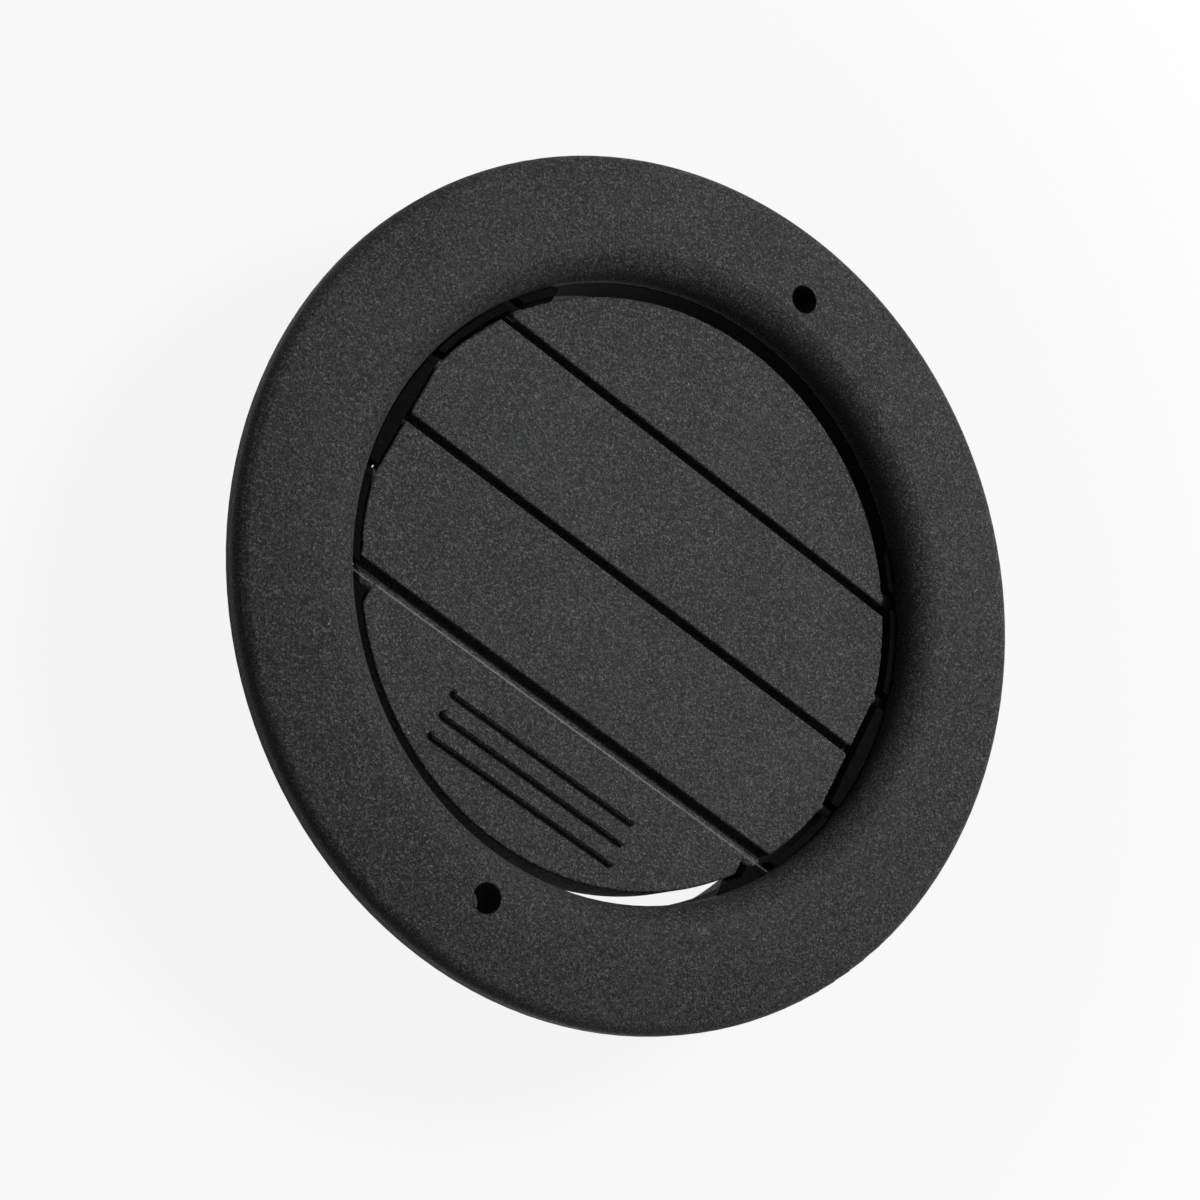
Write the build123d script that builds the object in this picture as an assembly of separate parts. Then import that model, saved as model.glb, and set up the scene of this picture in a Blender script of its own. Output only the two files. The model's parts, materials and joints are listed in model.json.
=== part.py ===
"""Round headliner air vent: screwed bezel, turning rotor ring, four linked louvres.

Millimetres. The origin is the centre of the flange's back plane. +Z points out of the front
face, X runs along the louvres and Y across them, with the ribbed louvre on the -Y side.
"""

import os
from math import sqrt

from build123d import *

# Louvres: the disc that they close to, and how it is cut into four
LOUVRE_R = 43.28
LOUVRE_FACE_Z = -0.9
LOUVRE_THICKNESS = 2.4
LOUVRE_PITCH = 21.8
LOUVRE_SHIFT_Y = 0.4
LOUVRE_GAP = 1.25
LOUVRE_EDGE = 0.35
LOUVRE_CORNER = 0.5
MIDDLE_END_CUT = 1.13
GRIP_END_CUT = 8.88
LAP_REACH = 1.0
LAP_THICKNESS = 0.8
HINGE_FLAT = 0.2
HEEL_SKIN = 0.9
SKIRT_BACK_Z = -8.6
SKIRT_WALL = 1.2
SKIRT_HALF_DEG = 45.0
PIVOT_PIN_R = 1.1
PIN_TIP_GAP = 0.4
PIN_ROOT = 3.0
TOP_INDEX = 0
GRIP_INDEX = 3

# Finger ribs on the lowest louvre
RIB_COUNT = 3
RIB_PITCH = 3.45
RIB_SETBACK = 7.0
RIB_LENGTH = 33.6
RIB_WIDTH = 1.3
RIB_HEIGHT = 0.9
RIB_EDGE = 0.3

# Cranks behind the louvres and the bar that links them
CRANK_X = -12.0
CRANK_WALL = 2.0
CRANK_DROP = 8.0
CRANK_SET = 12.5
CRANK_EYE_R = 2.2
CRANK_SINK = 0.6
LINK_PIN_R = 1.1
LINK_PIN_CLEARANCE = 0.25
LINK_PIN_PROUD = 0.6
LINK_SIDE_GAP = 0.3
LINK_WALL = 2.0
LINK_HALF_HEIGHT = 1.8
LINK_EYE_R = 2.3

# Rotor ring, which turns in the collar and carries the louvres between its cheeks
CHEEK_GAP = 0.62
CHEEK_REACH = 1.3
CHEEK_RIM_Z = 0.0
CHEEK_DEPTH = 7.0
CHEEK_END_STEP = 1.7
CHEEK_END_TAPER = 3.4
CHEEK_FLAT_GAP = 0.6
SILL_GAP = 0.12
SILL_Z = -3.5
SLOT_CLEARANCE = 0.15
LEDGE_Z = -4.8
LEDGE_THICKNESS = 2.9
LEDGE_REACH = 1.9
LEDGE_SETBACK = 2.2
LEDGE_END_STEP = 1.6
ROTOR_WALL = 2.1
ROTOR_TURN_GAP = 0.3
ROTOR_END_Z = -8.4
ROTOR_EDGE = 0.4

# Drag ring, a flat rubber ring in the rotor's groove
DRAG_HEIGHT = 1.1
DRAG_Z = -6.2
DRAG_GROOVE_DEPTH = 1.1
DRAG_SIDE_GAP = 0.15
DRAG_SEAT_GAP = 0.05

# Bezel: the flange and its lip
FLANGE_REACH = 13.9
FLANGE_WALL = 2.0
CROWN_Z = 4.5
RIM_CORNER_Z = 3.4
RIM_ROUND = 2.0
LIP_Z = -0.4

# Bezel: the collar, its snap fingers and the screw bosses
COLLAR_WALL = 2.0
COLLAR_SHOULDER = 0.6
COLLAR_END_Z = -24.0
COLLAR_EDGE = 0.5
FINGER_COUNT = 4
FINGER_FIRST_DEG = 45.0
FINGER_HALF_DEG = 9.0
FINGER_SLOT_WIDTH = 1.8
FINGER_LENGTH = 19.0
HOOK_REACH = 1.1
HOOK_FACE_HEIGHT = 0.8
HOOK_TAPER_HEIGHT = 2.0
SCREW_SETOUT = 3.04
SCREW_HOLE_R = 2.1
BOSS_R = 4.2
BOSS_PROUD = 2.5
STIFFENER_COUNT = 8
STIFFENER_FIRST_DEG = 22.5
STIFFENER_WALL = 1.5
STIFFENER_SETBACK = 0.6

# Radii, from the louvres outwards
CHEEK_R = LOUVRE_R + CHEEK_GAP
LIP_R = CHEEK_R + CHEEK_REACH
CHEEK_RIM_R = LIP_R - ROTOR_TURN_GAP
ROTOR_R = LIP_R + ROTOR_WALL
PIN_TIP_R = ROTOR_R - PIN_TIP_GAP
DRAG_GROOVE_FLOOR_R = ROTOR_R - DRAG_GROOVE_DEPTH
COLLAR_R = ROTOR_R + ROTOR_TURN_GAP
COLLAR_OUTER_R = COLLAR_R + COLLAR_WALL
SCREW_Y = COLLAR_OUTER_R + SCREW_SETOUT
FLANGE_R = COLLAR_OUTER_R + FLANGE_REACH

# Section of the bezel's face: a quarter-round lip, then a shallow dome to the rim
BULLNOSE_R = CROWN_Z - LIP_Z
CROWN_R = LIP_R + BULLNOSE_R
DOME_RUN = FLANGE_R - CROWN_R
DOME_DROP = CROWN_Z - RIM_CORNER_Z
DOME_R = (DOME_RUN**2 + DOME_DROP**2) / (2 * DOME_DROP)
RIM_INNER_R = FLANGE_R - FLANGE_WALL

# Heights and places that follow
ROTOR_TOP_Z = LIP_Z - ROTOR_TURN_GAP
HOOK_Z = ROTOR_END_Z - ROTOR_TURN_GAP
LOUVRE_BACK_Z = LOUVRE_FACE_Z - LOUVRE_THICKNESS
PIVOT_Z = LOUVRE_FACE_Z - LOUVRE_THICKNESS / 2
HINGE_ROUND = (LOUVRE_THICKNESS - HINGE_FLAT) / 2
LINK_X = CRANK_X + CRANK_WALL / 2 + LINK_SIDE_GAP + LINK_WALL / 2

# Edges of the louvres, from the +Y side to the ribbed -Y side; the outermost lie past the disc
SEAM_Y = [LOUVRE_SHIFT_Y + LOUVRE_PITCH * k for k in (1, 0, -1)]
UPPER_Y = [FLANGE_R] + [y - LOUVRE_GAP / 2 for y in SEAM_Y]
LOWER_Y = [y + LOUVRE_GAP / 2 for y in SEAM_Y] + [-FLANGE_R]
MIDDLE_END_X = LOUVRE_R - MIDDLE_END_CUT
GRIP_END_X = LOUVRE_R - GRIP_END_CUT
CHEEK_END_X = GRIP_END_X - CHEEK_END_STEP
END_X = [FLANGE_R, MIDDLE_END_X, MIDDLE_END_X, GRIP_END_X]
MIDDLE_PIVOT_Y = sqrt(LOUVRE_R**2 - MIDDLE_END_X**2)
PIVOT_Y = [
    LOWER_Y[TOP_INDEX] + LOUVRE_THICKNESS / 2,
    MIDDLE_PIVOT_Y,
    -MIDDLE_PIVOT_Y,
    UPPER_Y[GRIP_INDEX] - LOUVRE_THICKNESS / 2,
]
# Foot of each crank on its louvre's back, measured from the pivot towards -Y
CRANK_FOOT = [(-9.0, -0.5), (0.5, 7.5), (0.5, 9.5), (4.0, 15.0)]


def dome_z(radius):
    """Height of the flange's domed face at a radius."""
    return CROWN_Z - DOME_R + sqrt(DOME_R**2 - (radius - CROWN_R) ** 2)


def turned(section):
    """Solid of revolution about Z of a section drawn with radius across and Z up."""
    return revolve(Plane.XZ * section, Axis.Z)


def tube(outer_r, inner_r, low_z, high_z):
    """Plain ring about Z between two heights."""
    ring = Circle(outer_r) - Circle(inner_r)
    return extrude(Plane.XY.offset(low_z) * ring, high_z - low_z)


def rod_x(radius, start_x, end_x, y, z):
    """Round rod along X."""
    return extrude(Plane.YZ.offset(start_x) * Pos(y, z) * Circle(radius), end_x - start_x)


def rotated_copies(solid, count, first_deg):
    """Copies of a solid spaced evenly about Z."""
    return [Rot(0, 0, first_deg + 360 * k / count) * solid for k in range(count)]


def bezel_section():
    """Half section of the moulded shell: lip, crown, dome, rim, hollow back, shoulder and collar."""
    lip_point = (LIP_R, LIP_Z)
    crown_point = (CROWN_R, CROWN_Z)
    bend = BULLNOSE_R * sqrt(0.5)
    bend_point = (CROWN_R - bend, LIP_Z + bend)
    rim_point = (FLANGE_R, RIM_CORNER_Z)
    dome_middle_r = (CROWN_R + FLANGE_R) / 2
    outline = Curve() + [
        ThreePointArc(lip_point, bend_point, crown_point),
        ThreePointArc(crown_point, (dome_middle_r, dome_z(dome_middle_r)), rim_point),
        Polyline(
            rim_point,
            (FLANGE_R, 0),
            (RIM_INNER_R, 0),
            (RIM_INNER_R, dome_z(RIM_INNER_R) - FLANGE_WALL),
            (COLLAR_OUTER_R + COLLAR_SHOULDER, CROWN_Z - FLANGE_WALL),
            (COLLAR_OUTER_R + COLLAR_SHOULDER, -BOSS_PROUD),
            (COLLAR_OUTER_R, -BOSS_PROUD),
            (COLLAR_OUTER_R, COLLAR_END_Z),
            (COLLAR_R, COLLAR_END_Z),
            (COLLAR_R, LIP_Z),
            lip_point,
        ),
    ]
    section = make_face(outline)
    rim_top = section.vertices().sort_by_distance(rim_point)[0]
    section = fillet(rim_top, RIM_ROUND)
    collar_end = section.vertices().sort_by_distance((COLLAR_OUTER_R, COLLAR_END_Z))[0]
    return chamfer(collar_end, COLLAR_EDGE)


def make_bezel():
    """The visible ring: domed flange, screw bosses, stiffeners and a collar with snap fingers."""
    shell = turned(bezel_section())

    sector_deg = 2 * FINGER_HALF_DEG
    hook_section = make_face(
        Polyline(
            (COLLAR_R + COLLAR_WALL / 2, HOOK_Z),
            (COLLAR_R - HOOK_REACH, HOOK_Z),
            (COLLAR_R - HOOK_REACH, HOOK_Z - HOOK_FACE_HEIGHT),
            (COLLAR_R, HOOK_Z - HOOK_FACE_HEIGHT - HOOK_TAPER_HEIGHT),
            (COLLAR_R + COLLAR_WALL / 2, HOOK_Z - HOOK_FACE_HEIGHT - HOOK_TAPER_HEIGHT),
            close=True,
        )
    )
    hook = revolve(Plane.XZ * hook_section, Axis.Z, sector_deg)
    shell += rotated_copies(hook, FINGER_COUNT, FINGER_FIRST_DEG - FINGER_HALF_DEG)

    slot_reach = 2 * (COLLAR_WALL + HOOK_REACH)
    slot = Pos(COLLAR_R, 0, COLLAR_END_Z) * Box(
        slot_reach, FINGER_SLOT_WIDTH, FINGER_LENGTH, align=(Align.CENTER, Align.CENTER, Align.MIN)
    )
    for side in (-1, 1):
        first_deg = FINGER_FIRST_DEG + side * FINGER_HALF_DEG
        shell -= rotated_copies(slot, FINGER_COUNT, first_deg)

    web_r = (COLLAR_OUTER_R + RIM_INNER_R) / 2
    web_top_z = dome_z(RIM_INNER_R) - FLANGE_WALL / 2
    web = Pos(web_r, 0, STIFFENER_SETBACK) * Box(
        RIM_INNER_R - COLLAR_OUTER_R + COLLAR_WALL,
        STIFFENER_WALL,
        web_top_z - STIFFENER_SETBACK,
        align=(Align.CENTER, Align.CENTER, Align.MIN),
    )
    shell += rotated_copies(web, STIFFENER_COUNT, STIFFENER_FIRST_DEG)

    boss_height = dome_z(SCREW_Y) - FLANGE_WALL / 2 + BOSS_PROUD
    hole_height = CROWN_Z + BOSS_PROUD
    for side in (-1, 1):
        place = Plane.XY.offset(-BOSS_PROUD) * Pos(0, side * SCREW_Y)
        shell += extrude(place * Circle(BOSS_R), boss_height)
        shell -= extrude(place * Circle(SCREW_HOLE_R), hole_height)
    return shell


def louvre_well(end_gap):
    """Outline round the louvres that the cheeks leave open, with room at the square-cut ends."""
    middle_x = MIDDLE_END_X + end_gap
    grip_x = GRIP_END_X + end_gap
    top_y = UPPER_Y[GRIP_INDEX]
    well = Circle(CHEEK_R) & Rectangle(2 * middle_x, 2 * FLANGE_R)
    pad = Rectangle(FLANGE_R - grip_x, FLANGE_R + top_y)
    for side in (-1, 1):
        well -= Pos(side * (FLANGE_R + grip_x) / 2, (top_y - FLANGE_R) / 2) * pad
    return well


def rotor_cheeks():
    """Two walls beside the louvres' ends: a rim, a wall behind it and a closer sill below the pins."""
    low_z = ROTOR_TOP_Z - CHEEK_DEPTH
    well = louvre_well(CHEEK_FLAT_GAP)
    wall = extrude(Plane.XY.offset(low_z) * (Circle(ROTOR_R) - well), CHEEK_DEPTH)
    rim = extrude(Plane.XY.offset(ROTOR_TOP_Z) * (Circle(CHEEK_RIM_R) - well), CHEEK_RIM_Z - ROTOR_TOP_Z)
    sill = extrude(Plane.XY.offset(low_z) * (Circle(ROTOR_R) - louvre_well(SILL_GAP)), SILL_Z - low_z)
    low_x = CHEEK_END_X + CHEEK_END_TAPER
    between = make_face(
        Polyline(
            (-CHEEK_END_X, CHEEK_RIM_Z),
            (CHEEK_END_X, CHEEK_RIM_Z),
            (low_x, low_z),
            (-low_x, low_z),
            close=True,
        )
    )
    return wall + rim + sill - extrude(Plane.XZ * between, FLANGE_R, both=True)


def rotor_ledges():
    """Shelves inside the ring, on which the two upper louvres come to rest when they shut."""
    end_x = CHEEK_END_X - LEDGE_END_STEP
    start_y = PIVOT_Y[TOP_INDEX + 1] + LEDGE_SETBACK
    shelf = tube(ROTOR_R - ROTOR_WALL / 2, CHEEK_R - LEDGE_REACH, LEDGE_Z - LEDGE_THICKNESS, LEDGE_Z)
    window = Box(FLANGE_R - end_x, FLANGE_R - start_y, 2 * FLANGE_R)
    middle_y = (FLANGE_R + start_y) / 2
    return [shelf & Pos(side * (FLANGE_R + end_x) / 2, middle_y) * window for side in (-1, 1)]


def make_rotor():
    """Ring under the lip, with a cheek on each side that holds the louvres' pins in open slots."""
    ring = tube(ROTOR_R, LIP_R, ROTOR_END_Z, ROTOR_TOP_Z)
    rear_edge = ring.edges().group_by(Axis.Z)[0].sort_by(SortBy.RADIUS)[-1]
    ring = chamfer(rear_edge, ROTOR_EDGE)

    rotor = ring + rotor_cheeks() + rotor_ledges()

    groove_half = DRAG_HEIGHT / 2 + DRAG_SIDE_GAP
    groove_outer_r = ROTOR_R + ROTOR_TURN_GAP
    rotor -= tube(groove_outer_r, DRAG_GROOVE_FLOOR_R, DRAG_Z - groove_half, DRAG_Z + groove_half)

    slot_r = PIVOT_PIN_R + SLOT_CLEARANCE
    slot_height = CHEEK_RIM_Z - PIVOT_Z + slot_r
    for pivot_y in PIVOT_Y:
        for side in (-1, 1):
            ends = sorted((side * CHEEK_END_X, side * FLANGE_R))
            rotor -= rod_x(slot_r, *ends, pivot_y, PIVOT_Z)
            mouth = Box(
                FLANGE_R - CHEEK_END_X,
                2 * slot_r,
                slot_height,
                align=(Align.CENTER, Align.CENTER, Align.MIN),
            )
            rotor -= Pos(sum(ends) / 2, pivot_y, PIVOT_Z) * mouth
    return rotor


def make_drag_ring():
    """Rubber ring that lies in the rotor's groove and holds the rotor where it is turned."""
    inner_r = DRAG_GROOVE_FLOOR_R + DRAG_SEAT_GAP
    outer_r = COLLAR_R - DRAG_SEAT_GAP
    return tube(outer_r, inner_r, DRAG_Z - DRAG_HEIGHT / 2, DRAG_Z + DRAG_HEIGHT / 2)


def louvre_outline(low_y, high_y, end_x):
    """Slice of the louvre disc between two lines across it, with its ends cut square."""
    band = Pos(0, (low_y + high_y) / 2) * Rectangle(2 * end_x, high_y - low_y)
    return Circle(LOUVRE_R) & band


def louvre_plate(index):
    """Flat plate of one louvre, its front edges eased; the grip louvre's hinge edge is rounded."""
    is_grip = index == GRIP_INDEX
    outline = louvre_outline(LOWER_Y[index], UPPER_Y[index], END_X[index])
    corners = outline.vertices()
    outline = fillet(corners.group_by(Axis.Y)[0] if is_grip else corners, LOUVRE_CORNER)
    plate = extrude(Plane.XY.offset(LOUVRE_BACK_Z) * outline, LOUVRE_THICKNESS)
    front_edges = plate.edges().group_by(Axis.Z)[-1].sort_by(Axis.Y)
    if not is_grip:
        return fillet(front_edges, LOUVRE_EDGE)
    plate = fillet(front_edges[:-1], LOUVRE_EDGE)
    hinge_edges = plate.edges().filter_by(Axis.X).group_by(Axis.Y)[-1]
    return fillet(hinge_edges, HINGE_ROUND)


def louvre_lap(index):
    """Thin lip along the lower edge, which closes the view through the gap to the next louvre."""
    low_y = LOWER_Y[index] - LAP_REACH
    outline = louvre_outline(low_y, LOWER_Y[index] + LAP_REACH, END_X[index])
    return extrude(Plane.XY.offset(LOUVRE_BACK_Z) * outline, LAP_THICKNESS)


def grip_skirt():
    """Turned-down edge of the grip louvre, which hides the duct behind its round side."""
    outline = Pos(LOUVRE_R - SKIRT_WALL / 2, (SKIRT_BACK_Z + PIVOT_Z) / 2) * Rectangle(
        SKIRT_WALL, PIVOT_Z - SKIRT_BACK_Z
    )
    skirt = revolve(Plane.XZ * outline, Axis.Z, 2 * SKIRT_HALF_DEG)
    return Rot(0, 0, -90 - SKIRT_HALF_DEG) * skirt


def heel_reliefs():
    """Room behind the top louvre's lower corners, which would swing out against the cheeks."""
    pivot_y = PIVOT_Y[TOP_INDEX]
    heel_y = pivot_y + LOUVRE_THICKNESS / 2
    heel_x = sqrt(LOUVRE_R**2 - heel_y**2)
    height = LOUVRE_THICKNESS - HEEL_SKIN
    block = Box(FLANGE_R - heel_x, heel_y, height, align=(Align.MIN, Align.MAX, Align.MIN))
    return [
        Pos(heel_x, heel_y, LOUVRE_BACK_Z) * block,
        Pos(-FLANGE_R, heel_y, LOUVRE_BACK_Z) * block,
    ]


def louvre_pins(index):
    """The pivot pins at both ends, long enough to sit in the rotor's slots."""
    pivot_y = PIVOT_Y[index]
    plate_end_x = min(END_X[index], sqrt(LOUVRE_R**2 - pivot_y**2))
    tip_x = sqrt(PIN_TIP_R**2 - (abs(pivot_y) + PIVOT_PIN_R) ** 2)
    root_x = plate_end_x - PIN_ROOT
    pins = []
    for ends in ((-tip_x, -root_x), (root_x, tip_x)):
        pins.append(rod_x(PIVOT_PIN_R, *ends, pivot_y, PIVOT_Z))
    return pins


def crank_pin_place(index):
    """Place of the link pin of one crank, as Y and Z."""
    return PIVOT_Y[index] - CRANK_SET, PIVOT_Z - CRANK_DROP


def louvre_crank(index):
    """Web behind the louvre that carries the link pin, drawn as the hull of its foot and its eye."""
    foot_start, foot_end = CRANK_FOOT[index]
    foot_y = PIVOT_Y[index] - (foot_start + foot_end) / 2
    foot = Pos(foot_y, LOUVRE_BACK_Z + CRANK_SINK / 2) * Rectangle(foot_end - foot_start, CRANK_SINK)
    pin_y, pin_z = crank_pin_place(index)
    eye = Pos(pin_y, pin_z) * Circle(CRANK_EYE_R)
    web = make_hull(foot.edges() + eye.edges())
    crank = extrude(Plane.YZ.offset(CRANK_X - CRANK_WALL / 2) * web, CRANK_WALL)
    pin_end_x = LINK_X + LINK_WALL / 2 + LINK_PIN_PROUD
    return crank + rod_x(LINK_PIN_R, CRANK_X, pin_end_x, pin_y, pin_z)


def finger_ribs():
    """Raised bars with round ends that give the finger its grip."""
    first_y = UPPER_Y[GRIP_INDEX] - RIB_SETBACK
    bars = []
    for k in range(RIB_COUNT):
        place = Plane.XY.offset(PIVOT_Z) * Pos(0, first_y - RIB_PITCH * k)
        bar = extrude(place * SlotOverall(RIB_LENGTH, RIB_WIDTH), LOUVRE_FACE_Z + RIB_HEIGHT - PIVOT_Z)
        bars.append(chamfer(bar.edges().group_by(Axis.Z)[-1], RIB_EDGE))
    return bars


def make_louvre(index):
    """One louvre, moulded in one piece with its pins and crank."""
    plate = louvre_plate(index)
    if index == GRIP_INDEX:
        plate += finger_ribs()
        plate += grip_skirt()
    else:
        plate += louvre_lap(index)
    if index == TOP_INDEX:
        plate -= heel_reliefs()
    return plate + louvre_pins(index) + louvre_crank(index)


def make_link_bar():
    """Flat bar with an eye on every crank's pin, so that the louvres tilt together."""
    places = [crank_pin_place(index) for index in range(len(PIVOT_Y))]
    top_y, bar_z = places[0]
    bottom_y = places[-1][0]
    bar = Pos((top_y + bottom_y) / 2, bar_z) * Rectangle(top_y - bottom_y, 2 * LINK_HALF_HEIGHT)
    bar += [Pos(*place) * Circle(LINK_EYE_R) for place in places]
    bar -= [Pos(*place) * Circle(LINK_PIN_R + LINK_PIN_CLEARANCE) for place in places]
    return extrude(Plane.YZ.offset(LINK_X - LINK_WALL / 2) * bar, LINK_WALL)


def make_parts():
    """Every piece of the vent, by the name of its node."""
    parts = {
        "bezel": make_bezel(),
        "rotor_ring": make_rotor(),
        "drag_ring": make_drag_ring(),
        "link_bar": make_link_bar(),
    }
    for index in range(len(PIVOT_Y)):
        parts[f"louvre_{index + 1}"] = make_louvre(index)
    return parts


os.makedirs("parts", exist_ok=True)
for node, solid in make_parts().items():
    export_step(solid, f"parts/{node}.step")
    print(node, round(solid.volume, 1))
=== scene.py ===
# %% [markdown]
# # A round headliner air vent
# This lesson dresses a car's overhead air vent that was drawn in CAD: a domed bezel with two screw
# holes, a ring that turns in it, and four louvres that tilt together. The CAD model is loaded as a
# fixed frame in metres, so nothing has to be fitted by eye. What is left for Blender is the finish
# of the moulded plastic, the light and the view.

# %% Load the CAD frame
import json

import bpy
from mathutils import Matrix, Vector


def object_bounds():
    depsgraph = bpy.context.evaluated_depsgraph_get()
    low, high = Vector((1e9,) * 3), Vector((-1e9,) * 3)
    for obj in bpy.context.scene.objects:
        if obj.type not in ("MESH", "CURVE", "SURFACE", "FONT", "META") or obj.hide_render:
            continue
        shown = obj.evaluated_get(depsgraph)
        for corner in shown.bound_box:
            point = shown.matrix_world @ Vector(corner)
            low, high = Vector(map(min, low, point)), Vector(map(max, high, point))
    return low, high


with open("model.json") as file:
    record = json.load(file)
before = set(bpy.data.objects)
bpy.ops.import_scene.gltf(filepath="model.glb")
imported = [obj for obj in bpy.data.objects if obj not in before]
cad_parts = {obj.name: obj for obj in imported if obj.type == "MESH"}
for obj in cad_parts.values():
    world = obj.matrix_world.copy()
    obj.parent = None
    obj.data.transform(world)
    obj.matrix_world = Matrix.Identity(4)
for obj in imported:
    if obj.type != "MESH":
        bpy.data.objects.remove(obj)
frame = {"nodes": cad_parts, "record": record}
cad_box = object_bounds()
nodes = frame["nodes"]
scene = bpy.context.scene
print("nodes:", ", ".join(sorted(nodes)))
print("box in mm:", [[round(1000 * c, 2) for c in corner] for corner in cad_box])

# %% [markdown]
# ## Colour as it is written
# Filmic view transforms bend dark greys, and this vent is nothing but dark greys. The Standard
# transform shows a colour as it is written, so a grey that was chosen for the plastic stays that grey.

# %% Show colours plainly
scene.view_settings.view_transform = "Standard"
print("view transform:", scene.view_settings.view_transform)

# %% [markdown]
# ## The white table
# The vent lies face up on a white table, on the end of its collar. A table that is lit to pure white
# would also throw a lot of light on the black plastic. So the camera sees mostly a plain white
# emission, while light that bounces finds an ordinary pale floor. A part of that floor is left in what
# the camera sees, and this part carries the vent's soft shadow. It fades out with the distance, so
# that the table runs into the white backdrop without a horizon.

# %% Table helpers
FLOOR_SPAN = 6.0
FLOOR_COLOUR = (0.55, 0.55, 0.55, 1)
WHITE = (1, 1, 1, 1)
SHADOW_SHARE = 0.10
FADE_START = 0.08
FADE_END = 0.20


def new_material(name):
    """An empty node material with its output."""
    material = bpy.data.materials.new(name)
    material.use_nodes = True
    material.node_tree.nodes.clear()
    output = material.node_tree.nodes.new("ShaderNodeOutputMaterial")
    return material, material.node_tree, output


def seen_rays(tree):
    """A value of 1 for rays that show the background: from the camera, a gloss or a glass."""
    rays = tree.nodes.new("ShaderNodeLightPath")
    total = rays.outputs["Is Camera Ray"]
    for name in ("Is Glossy Ray", "Is Transmission Ray"):
        adder = tree.nodes.new("ShaderNodeMath")
        adder.operation = "MAXIMUM"
        tree.links.new(total, adder.inputs[0])
        tree.links.new(rays.outputs[name], adder.inputs[1])
        total = adder.outputs[0]
    return total


# %% Lay the table under the collar
bpy.ops.object.select_all(action="DESELECT")
bpy.ops.mesh.primitive_plane_add(size=FLOOR_SPAN, location=(0, 0, cad_box[0][2]))
floor = bpy.context.active_object
floor.name = "white_table"

floor_material, tree, output = new_material("white_table")
pale = tree.nodes.new("ShaderNodeBsdfDiffuse")
pale.inputs["Color"].default_value = FLOOR_COLOUR
white = tree.nodes.new("ShaderNodeEmission")
white.inputs["Color"].default_value = WHITE
place = tree.nodes.new("ShaderNodeTexCoord")
away = tree.nodes.new("ShaderNodeVectorMath")
away.operation = "LENGTH"
share = tree.nodes.new("ShaderNodeMapRange")
share.interpolation_type = "SMOOTHSTEP"
share.inputs["From Min"].default_value = FADE_START
share.inputs["From Max"].default_value = FADE_END
share.inputs["To Min"].default_value = 1 - SHADOW_SHARE
seen = tree.nodes.new("ShaderNodeMath")
seen.operation = "MULTIPLY"
mix = tree.nodes.new("ShaderNodeMixShader")
tree.links.new(place.outputs["Object"], away.inputs[0])
tree.links.new(away.outputs["Value"], share.inputs["Value"])
tree.links.new(seen_rays(tree), seen.inputs[0])
tree.links.new(share.outputs["Result"], seen.inputs[1])
tree.links.new(seen.outputs[0], mix.inputs["Fac"])
tree.links.new(pale.outputs[0], mix.inputs[1])
tree.links.new(white.outputs[0], mix.inputs[2])
tree.links.new(mix.outputs[0], output.inputs["Surface"])
floor.data.materials.append(floor_material)
print("table at z", round(1000 * cad_box[0][2], 2), "mm")

# %% [markdown]
# ## Soft studio light
# On the vent, the faces that look up are evenly grey, the walls that look towards the viewer are much
# darker, and the far side of the recess is nearly black. So the light comes in aslant from the far
# right and the lip shades the gap behind it. That is one square lamp at half height, and a tent of weak
# light all round, which is the world.

# %% The tent of weak light
TENT_STRENGTH = 0.02

world = bpy.data.worlds.new("light_tent")
scene.world = world
world.use_nodes = True
tree = world.node_tree
tree.nodes.clear()
output = tree.nodes.new("ShaderNodeOutputWorld")
weak = tree.nodes.new("ShaderNodeBackground")
weak.inputs["Color"].default_value = WHITE
weak.inputs["Strength"].default_value = TENT_STRENGTH
backdrop = tree.nodes.new("ShaderNodeBackground")
backdrop.inputs["Color"].default_value = WHITE
mix = tree.nodes.new("ShaderNodeMixShader")
tree.links.new(seen_rays(tree), mix.inputs["Fac"])
tree.links.new(weak.outputs[0], mix.inputs[1])
tree.links.new(backdrop.outputs[0], mix.inputs[2])
tree.links.new(mix.outputs[0], output.inputs["Surface"])
print("world:", world.name, "strength", TENT_STRENGTH)


# %% The key lamp
def add_lamp(name, place, size, watts):
    """A square area lamp that looks at the vent."""
    data = bpy.data.lights.new(name, "AREA")
    data.shape = "SQUARE"
    data.size = size
    data.energy = watts
    lamp = bpy.data.objects.new(name, data)
    scene.collection.objects.link(lamp)
    lamp.location = place
    lamp.rotation_euler = (-Vector(place)).to_track_quat("-Z", "Y").to_euler()
    return lamp


KEY_PLACE = (0.32, 0.53, 0.785)
KEY_SIZE = 0.3
KEY_WATTS = 9.2

key = add_lamp("key_lamp", KEY_PLACE, KEY_SIZE, KEY_WATTS)
print("lamp:", key.name, "at", KEY_WATTS, "W")

# %% [markdown]
# ## The view
# The camera stands off the ribbed louvre's left side and looks down on the face. Its place, its turn
# and its lens come from fitting the rim's ellipse, so the outline falls where it should in the frame.
# A small shift moves the picture without turning the camera.

# %% The camera
CAMERA_DISTANCE = 0.4515
CAMERA_RIGHT = Vector((0.75031, 0.42918, 0.50283))
CAMERA_UP = Vector((-0.56876, 0.80679, 0.16005))
CAMERA_BACK = Vector((-0.33699, -0.40607, 0.84943))
CAMERA_LENS = 94.55
CAMERA_SENSOR = 36
CAMERA_NEAREST = 0.01
CAMERA_SHIFT = (-0.0313, -0.0087)

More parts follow.
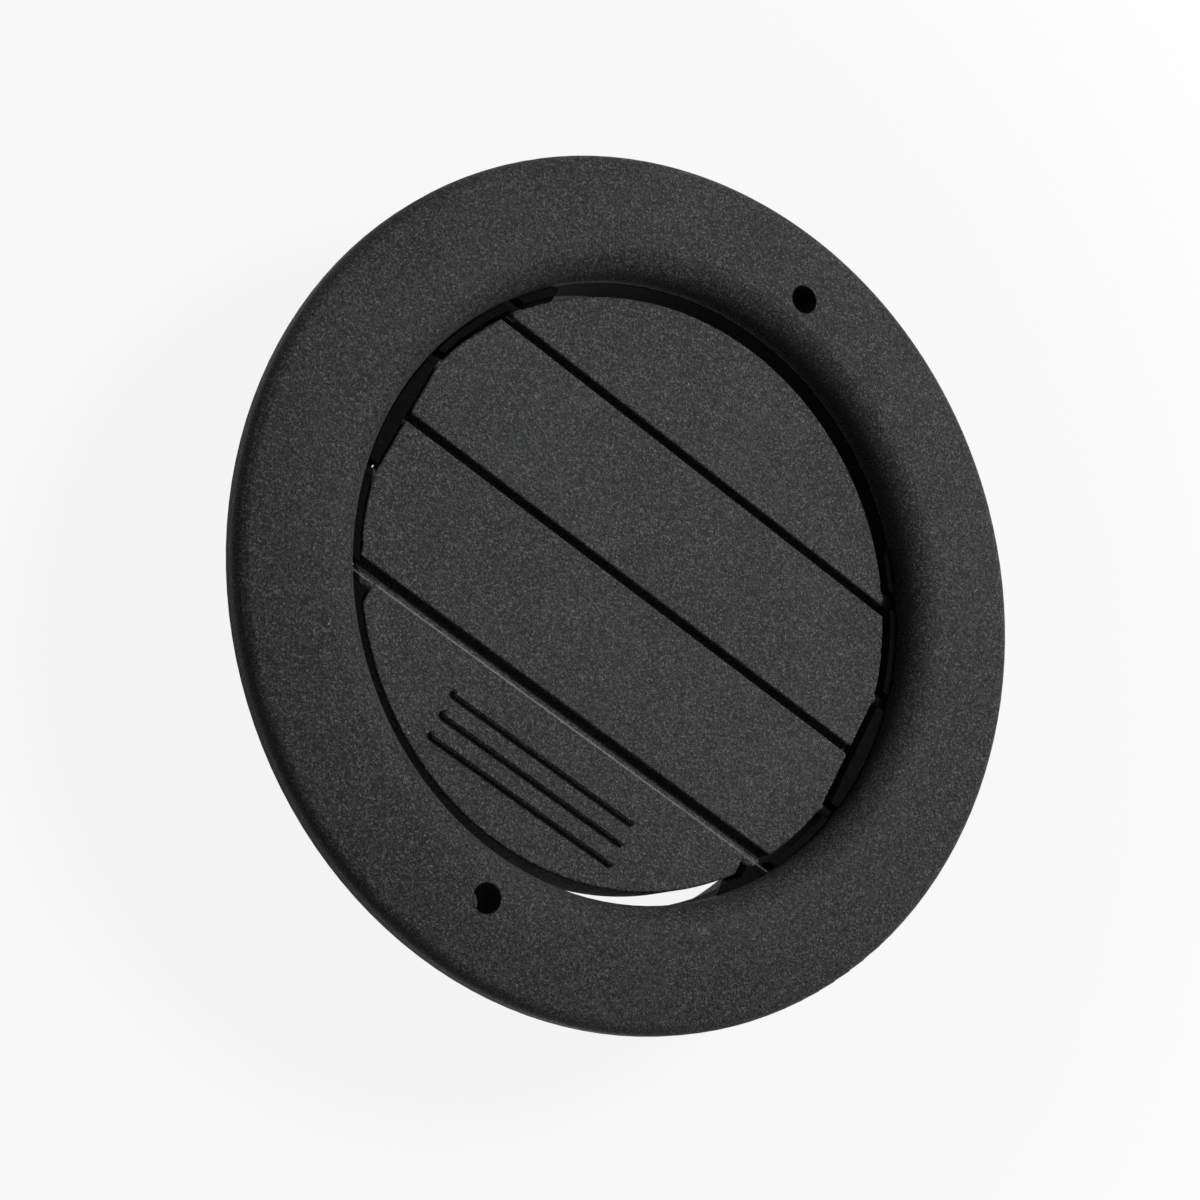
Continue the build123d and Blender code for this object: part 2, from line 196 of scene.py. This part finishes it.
camera_data = bpy.data.cameras.new("photo_camera")
camera_data.sensor_width = CAMERA_SENSOR
camera_data.lens = CAMERA_LENS
camera_data.shift_x, camera_data.shift_y = CAMERA_SHIFT
camera_data.clip_start = CAMERA_NEAREST
camera = bpy.data.objects.new("photo_camera", camera_data)
scene.collection.objects.link(camera)
turn = Matrix((CAMERA_RIGHT, CAMERA_UP, CAMERA_BACK)).transposed()
camera.matrix_world = Matrix.Translation(CAMERA_DISTANCE * CAMERA_BACK) @ turn.to_4x4()
scene.camera = camera
print("camera at", [round(1000 * c) for c in camera.location], "mm")

# %% [markdown]
# ## Spark-eroded grain and painted glints
# The mould of such a part is roughened by sparks, so the plastic comes out with a fine pebbled grain,
# a fifth of a millimetre across. A picture of grain would have to be wrapped round every edge. A
# pattern that is read at each point's own place in space needs no wrapping and has no seams. Cells
# give each pebble its own random shade, and the palest few cells are painted glints: bright specks in
# the colour that stand in for light catching the grain. A noise gives the height. Several materials
# need this, so it is a node group.


# %% Node helpers
def add_socket(group, name, kind, direction, value=None):
    """A named input or output on a node group."""
    socket = group.interface.new_socket(name, in_out=direction, socket_type=kind)
    if value is not None:
        socket.default_value = value
    return socket


def feed(tree, value, socket):
    """Puts a number on a socket, or links another socket to it."""
    if isinstance(value, (int, float)):
        socket.default_value = value
    else:
        tree.links.new(value, socket)


def add_math(tree, operation, first, second):
    """A Math node whose inputs are sockets or numbers; gives its output."""
    node = tree.nodes.new("ShaderNodeMath")
    node.operation = operation
    feed(tree, first, node.inputs[0])
    feed(tree, second, node.inputs[1])
    return node.outputs[0]


def add_noise(tree, vector, scale, detail):
    """A noise pattern of so many blobs per metre; gives its value."""
    node = tree.nodes.new("ShaderNodeTexNoise")
    node.inputs["Detail"].default_value = detail
    tree.links.new(vector, node.inputs["Vector"])
    feed(tree, scale, node.inputs["Scale"])
    return node.outputs["Fac"]


def add_cells(tree, vector, scale):
    """Voronoi cells, so many per metre; gives each cell's random value and the distance to its core."""
    node = tree.nodes.new("ShaderNodeTexVoronoi")
    tree.links.new(vector, node.inputs["Vector"])
    feed(tree, scale, node.inputs["Scale"])
    split = tree.nodes.new("ShaderNodeSeparateColor")
    tree.links.new(node.outputs["Color"], split.inputs["Color"])
    return split.outputs["Red"], node.outputs["Distance"]


def add_range(tree, value, low, high, to_low=0.0, to_high=1.0):
    """A smooth step from one range to another."""
    node = tree.nodes.new("ShaderNodeMapRange")
    node.interpolation_type = "SMOOTHSTEP"
    node.inputs["From Min"].default_value = low
    node.inputs["From Max"].default_value = high
    node.inputs["To Min"].default_value = to_low
    node.inputs["To Max"].default_value = to_high
    tree.links.new(value, node.inputs["Value"])
    return node.outputs["Result"]


# %% The grain group
PEBBLES_PER_METRE = 4600
HEIGHT_DETAIL = 1.0
SHADE_RANGE = (0.1, 0.9)
# The palest cells become painted glints: bright specks in the colour that stand in for light on the grain.
GLINT_SPECK_RANGE = (0.84, 1.0)

grain_and_glint_group = bpy.data.node_groups.new("spark_grain_and_glints", "ShaderNodeTree")
add_socket(grain_and_glint_group, "Vector", "NodeSocketVector", "INPUT")
add_socket(grain_and_glint_group, "Pebbles per metre", "NodeSocketFloat", "INPUT", PEBBLES_PER_METRE)
add_socket(grain_and_glint_group, "Height", "NodeSocketFloat", "OUTPUT")
add_socket(grain_and_glint_group, "Shade", "NodeSocketFloat", "OUTPUT")
add_socket(grain_and_glint_group, "Painted glints", "NodeSocketFloat", "OUTPUT")
start = grain_and_glint_group.nodes.new("NodeGroupInput")
end = grain_and_glint_group.nodes.new("NodeGroupOutput")
chance = add_cells(grain_and_glint_group, start.outputs["Vector"], start.outputs["Pebbles per metre"])[0]
height = add_noise(grain_and_glint_group, start.outputs["Vector"], start.outputs["Pebbles per metre"], HEIGHT_DETAIL)
shade = add_range(grain_and_glint_group, chance, *SHADE_RANGE)
painted_glints = add_range(grain_and_glint_group, chance, *GLINT_SPECK_RANGE)
grain_and_glint_group.links.new(height, end.inputs["Height"])
grain_and_glint_group.links.new(shade, end.inputs["Shade"])
grain_and_glint_group.links.new(painted_glints, end.inputs["Painted glints"])
print("group:", grain_and_glint_group.name)

# %% [markdown]
# ## Handling and dust
# A part that has been in a car and a box isn't evenly black. Large soft clouds make the grey drift by a
# few percent, and a few motes of dust lie on it as tiny pale dots. The dust only stays on the front
# faces, which the surface's own normal tells.

# %% The dust group
CLOUDS_PER_METRE = 42
CLOUD_DETAIL = 3.0
MOTES_PER_METRE = 260
MOTE_EDGE = (0.03, 0.06)
MOTE_RARITY = 0.9
FRONT_RANGE = (0.5, 0.9)

dust_group = bpy.data.node_groups.new("cabin_dust", "ShaderNodeTree")
add_socket(dust_group, "Vector", "NodeSocketVector", "INPUT")
add_socket(dust_group, "Clouds", "NodeSocketFloat", "OUTPUT")
add_socket(dust_group, "Motes", "NodeSocketFloat", "OUTPUT")
start = dust_group.nodes.new("NodeGroupInput")
end = dust_group.nodes.new("NodeGroupOutput")
clouds = add_noise(dust_group, start.outputs["Vector"], CLOUDS_PER_METRE, CLOUD_DETAIL)
chance, core = add_cells(dust_group, start.outputs["Vector"], MOTES_PER_METRE)
near = add_range(dust_group, core, *MOTE_EDGE, 1.0, 0.0)
rare = add_math(dust_group, "GREATER_THAN", chance, MOTE_RARITY)
surface = dust_group.nodes.new("ShaderNodeTexCoord")
facing = dust_group.nodes.new("ShaderNodeSeparateXYZ")
dust_group.links.new(surface.outputs["Normal"], facing.inputs[0])
front = add_range(dust_group, facing.outputs["Z"], *FRONT_RANGE)
motes = add_math(dust_group, "MULTIPLY", add_math(dust_group, "MULTIPLY", near, rare), front)
dust_group.links.new(clouds, end.inputs["Clouds"])
dust_group.links.new(motes, end.inputs["Motes"])
print("group:", dust_group.name)

# %% [markdown]
# ## Painted shade and glossy zones
# The grain isn't everywhere. Inside the screw holes and on the louvres' pivot pins, where shade falls
# in the gap, the colour is painted shade, a plain near-black grey, and the roughness is dull. Both
# zones are round about an upright axis, so the distance to that axis tells them apart. Taking the
# place's absolute value first makes one axis serve both screw holes. The ribbed louvre's rounded hinge
# edge is smooth and glossier than its face, and shows as a thin bright line. It is a straight band
# across Y, which no other louvre's face reaches.

# %% The axis group
axis_group = bpy.data.node_groups.new("axis_distance", "ShaderNodeTree")
add_socket(axis_group, "Vector", "NodeSocketVector", "INPUT")
add_socket(axis_group, "Axis Y", "NodeSocketFloat", "INPUT", 0.0)
add_socket(axis_group, "Distance", "NodeSocketFloat", "OUTPUT")
start = axis_group.nodes.new("NodeGroupInput")
end = axis_group.nodes.new("NodeGroupOutput")
split = axis_group.nodes.new("ShaderNodeSeparateXYZ")
axis_group.links.new(start.outputs["Vector"], split.inputs[0])
across = add_math(axis_group, "ABSOLUTE", split.outputs["Y"], 0.0)
across = add_math(axis_group, "SUBTRACT", across, start.outputs["Axis Y"])
squares = [add_math(axis_group, "MULTIPLY", side, side) for side in (split.outputs["X"], across)]
distance = add_math(axis_group, "SQRT", add_math(axis_group, "ADD", *squares), 0.0)
axis_group.links.new(distance, end.inputs["Distance"])
print("group:", axis_group.name)

# %% [markdown]
# ## The plastics
# The bezel and the louvres are charcoal black with the grain on their faces. The ring is a smooth black
# part, and its greys are set far darker than the bezel's, as painted shade of the duct it sits in. The
# link bar comes from a smoother mould, and the drag ring is plain black rubber. One function builds them
# all from a few numbers: the darkest and the palest grey of the grain, the grey of its bright specks,
# which are painted glints, the depth of the grain, the roughness and the strength of the gloss. A
# painted shade zone is the Y of its axis, the radius where the grain ends and the radius where it is
# all painted shade. A hinge band is the Y where the gloss starts, where it is full and where it ends. In
# it the grain's height is held at its middle, so the band is smooth.


# %% Plastic recipe
MOTE_GREY = 0.22
PEBBLE_TALL = 0.00010
CLOUD_DRIFT = 0.12
CLOUD_RANGE = (0.2, 0.8)
SPECK_POLISH = 0.1
COOL_TINT = (1.0, 1.02, 1.05)
# Painted shade: the near-black grey put inside the screw holes and on the pivot pins, where shade falls.
PAINTED_SHADE_GREY = 0.004
DULL_ROUGH = 0.95
SCREW_HOLE_SHADE = (0.05264, 0.00225, 0.00212)
PIVOT_PIN_SHADE = (0.0, 0.04330, 0.04345)
HINGE_EDGE = (-0.02325, -0.02310, -0.02190)
HINGE_ROUGH = 0.28
HINGE_HEIGHT = 0.5


def grey(level):
    """A neutral grey, a touch cool as moulded black plastic is."""
    return (*(level * share for share in COOL_TINT), 1)


def mix_colour(tree, factor, first, second):
    """A mix of two colours, each a socket or a value; gives the colour output."""
    node = tree.nodes.new("ShaderNodeMix")
    node.data_type = "RGBA"
    tree.links.new(factor, node.inputs["Factor"])
    sockets = [s for s in node.inputs if s.type == "RGBA"]
    for socket, value in zip(sockets, (first, second)):
        if isinstance(value, tuple):
            socket.default_value = value
        else:
            tree.links.new(value, socket)
    return next(s for s in node.outputs if s.type == "RGBA")


def place_group(tree, group, vector):
    """A node that uses a node group at each point's place."""
    node = tree.nodes.new("ShaderNodeGroup")
    node.node_tree = group
    tree.links.new(vector, node.inputs["Vector"])
    return node


def mix_value(tree, factor, first, second):
    """A mix of two values, each a socket or a number; gives the value output."""
    node = tree.nodes.new("ShaderNodeMix")
    tree.links.new(factor, node.inputs["Factor"])
    feed(tree, first, node.inputs["A"])
    feed(tree, second, node.inputs["B"])
    return node.outputs["Result"]


def hinge_band(tree, vector, outside, inside, end):
    """A mask that is 1 in a band across Y, from where the gloss sets in to the band's far end."""
    split = tree.nodes.new("ShaderNodeSeparateXYZ")
    tree.links.new(vector, split.inputs[0])
    begun = add_range(tree, split.outputs["Y"], outside, inside)
    return add_math(tree, "MULTIPLY", begun, add_math(tree, "LESS_THAN", split.outputs["Y"], end))


def moulded_plastic(name, dark, pale, glint_grey, depth, rough, gloss, painted_shade_zone=None, hinge=None):
    """A moulded black finish with drifting grey, grain, painted glint specks and motes of dust."""
    material, tree, output = new_material(name)
    place = tree.nodes.new("ShaderNodeTexCoord").outputs["Object"]
    grain_and_glints = place_group(tree, grain_and_glint_group, place)
    dust = place_group(tree, dust_group, place)

    drift = add_range(tree, dust.outputs["Clouds"], *CLOUD_RANGE, -CLOUD_DRIFT, CLOUD_DRIFT)
    shade = add_math(tree, "ADD", grain_and_glints.outputs["Shade"], drift)
    colour = mix_colour(tree, shade, grey(dark), grey(pale))
    # Painted glints: the palest cells take a bright grey that stands in for light catching the grain.
    colour = mix_colour(tree, grain_and_glints.outputs["Painted glints"], colour, grey(glint_grey))
    colour = mix_colour(tree, dust.outputs["Motes"], colour, grey(MOTE_GREY))

    bump = tree.nodes.new("ShaderNodeBump")
    bump.inputs["Strength"].default_value = depth
    bump.inputs["Distance"].default_value = PEBBLE_TALL
    height = grain_and_glints.outputs["Height"]

    shader = tree.nodes.new("ShaderNodeBsdfPrincipled")
    shader.inputs["Specular IOR Level"].default_value = gloss
    roughness = add_range(tree, grain_and_glints.outputs["Painted glints"], 0.0, 1.0, rough, rough - SPECK_POLISH)
    if painted_shade_zone:
        axis_y, grain_end, shade_full = painted_shade_zone
        axis = place_group(tree, axis_group, place)
        axis.inputs["Axis Y"].default_value = axis_y
        painted_shade_mask = add_range(tree, axis.outputs["Distance"], grain_end, shade_full)
        # Painted shade: in this zone the colour turns to a near-black grey that stands in for shade.
        colour = mix_colour(tree, painted_shade_mask, colour, grey(PAINTED_SHADE_GREY))
        roughness = mix_value(tree, painted_shade_mask, roughness, DULL_ROUGH)
    if hinge:
        edge = hinge_band(tree, place, *hinge)
        roughness = mix_value(tree, edge, roughness, HINGE_ROUGH)
        height = mix_value(tree, edge, height, HINGE_HEIGHT)
    tree.links.new(height, bump.inputs["Height"])
    tree.links.new(colour, shader.inputs["Base Color"])
    tree.links.new(roughness, shader.inputs["Roughness"])
    tree.links.new(bump.outputs["Normal"], shader.inputs["Normal"])
    tree.links.new(shader.outputs[0], output.inputs["Surface"])
    return material


# %% Finish every node
# The third grey in each recipe is the grey of the painted glint specks.
recipes = {
    "bezel_grain": dict(
        dark=0.014, pale=0.057, glint_grey=0.110, depth=0.9, rough=0.55, gloss=0.07, painted_shade_zone=SCREW_HOLE_SHADE
    ),
    "louvre_grain": dict(
        dark=0.018, pale=0.066, glint_grey=0.122, depth=0.9, rough=0.55, gloss=0.07,
        painted_shade_zone=PIVOT_PIN_SHADE, hinge=HINGE_EDGE,
    ),
    # The ring's greys are set far darker than the bezel's, as painted shade of the duct it sits in.
    "smooth_black": dict(dark=0.003, pale=0.005, glint_grey=0.007, depth=0.20, rough=0.80, gloss=0.02),
    "link_plastic": dict(dark=0.006, pale=0.010, glint_grey=0.012, depth=0.15, rough=0.40, gloss=0.10),
    "drag_rubber": dict(dark=0.005, pale=0.008, glint_grey=0.010, depth=0.40, rough=0.75, gloss=0.05),
}
finishes = {slot: moulded_plastic(slot, **recipe) for slot, recipe in recipes.items()}
for part in frame["record"]["subparts"]:
    mesh = nodes[part["node"]].data
    mesh.materials.clear()
    mesh.materials.append(finishes[part["material_slot"]])
print("finishes:", ", ".join(finishes))
